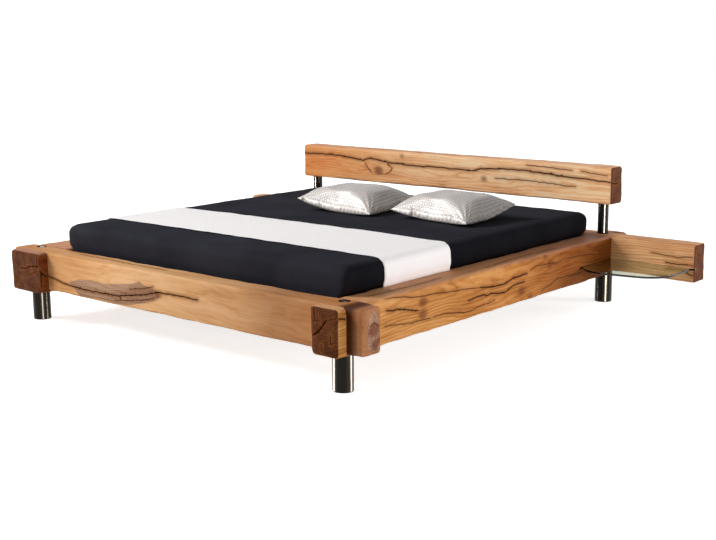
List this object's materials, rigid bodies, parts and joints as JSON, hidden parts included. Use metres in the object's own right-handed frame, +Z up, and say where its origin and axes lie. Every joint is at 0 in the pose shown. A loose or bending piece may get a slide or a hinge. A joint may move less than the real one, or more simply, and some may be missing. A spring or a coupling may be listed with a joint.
{
  "type": "beam bed",
  "caption": "Low double bed of thick crossed oak beams on round steel tube legs, with a raised head beam on posts, glass corner shelves, mattress, runner and cushions.",
  "frame": {"origin": "on the floor, in the middle of the bed's overall box", "axes": "+X to the right seen from the foot end, along the long head cross beam; +Y from the foot to the head; +Z up"},
  "size_m": [3.117, 2.344, 0.722],
  "materials": {
    "oak_foot_beam": "oiled",
    "oak_side_beam": "oiled",
    "oak_cross_beam": "oiled",
    "oak_rest_beam": "oiled",
    "stainless_tube": "polished",
    "zinc_fixings": "satin",
    "galvanised_shoe": "satin",
    "black_glide": "matte",
    "clear_glass": "polished",
    "spruce": "planed",
    "beech_slats": "lacquered",
    "rubber_caps": "matte",
    "mattress_foam": "knitted",
    "black_jersey": "matte",
    "white_runner": "matte",
    "silver_brocade": "satin"
  },
  "bodies": {
    "frame": {"foot_beam": "oak_foot_beam", "side_beam_right": "oak_side_beam", "side_beam_left": "oak_side_beam", "head_cross_beam": "oak_cross_beam", "head_rest_beam": "oak_rest_beam", "head_post_right": "stainless_tube", "head_post_left": "stainless_tube", "post_plates": "stainless_tube", "leg_foot_right": "stainless_tube", "leg_foot_left": "stainless_tube", "leg_head_right": "stainless_tube", "leg_head_left": "stainless_tube", "leg_plates": "stainless_tube", "glide_foot_right": "black_glide", "glide_foot_left": "black_glide", "glide_head_right": "black_glide", "glide_head_left": "black_glide", "crossing_bolts": "zinc_fixings", "crossing_washers": "zinc_fixings", "tie_rods": "zinc_fixings", "tie_rod_nuts": "zinc_fixings", "rest_beam_inserts": "zinc_fixings", "ledger_right": "spruce", "ledger_left": "spruce", "ledger_screws": "zinc_fixings", "middle_beam": "spruce", "beam_shoes": "galvanised_shoe", "shoe_screws": "zinc_fixings", "middle_leg": "galvanised_shoe", "middle_leg_plate": "galvanised_shoe", "middle_leg_glide": "black_glide", "slat_side_rails": "beech_slats", "slat_end_rails": "beech_slats", "slats_right": "beech_slats", "slats_left": "beech_slats", "slat_caps": "rubber_caps"},
    "bedding": {"mattress": "mattress_foam", "fitted_sheet": "black_jersey", "bed_runner": "white_runner"},
    "cushion_right": {"cushion_right": "silver_brocade"},
    "cushion_left": {"cushion_left": "silver_brocade"},
    "shelf_right": {"glass_shelf_right": "clear_glass"},
    "shelf_left": {"glass_shelf_left": "clear_glass"}
  },
  "joints": [
    {"name": "mattress_lift", "type": "slide", "parent": "frame", "child": "bedding", "axis": [0, 0, 1], "range_m": [0, 0.3]},
    {"name": "cushion_right_lift", "type": "slide", "parent": "bedding", "child": "cushion_right", "axis": [0, 0, 1], "range_m": [0, 0.25]},
    {"name": "cushion_left_lift", "type": "slide", "parent": "bedding", "child": "cushion_left", "axis": [0, 0, 1], "range_m": [0, 0.25]},
    {"name": "shelf_right_pull", "type": "slide", "parent": "frame", "child": "shelf_right", "axis": [0.7071, -0.7071, 0], "range_m": [0, 0.12]},
    {"name": "shelf_left_pull", "type": "slide", "parent": "frame", "child": "shelf_left", "axis": [-0.7071, -0.7071, 0], "range_m": [0, 0.12]}
  ]
}
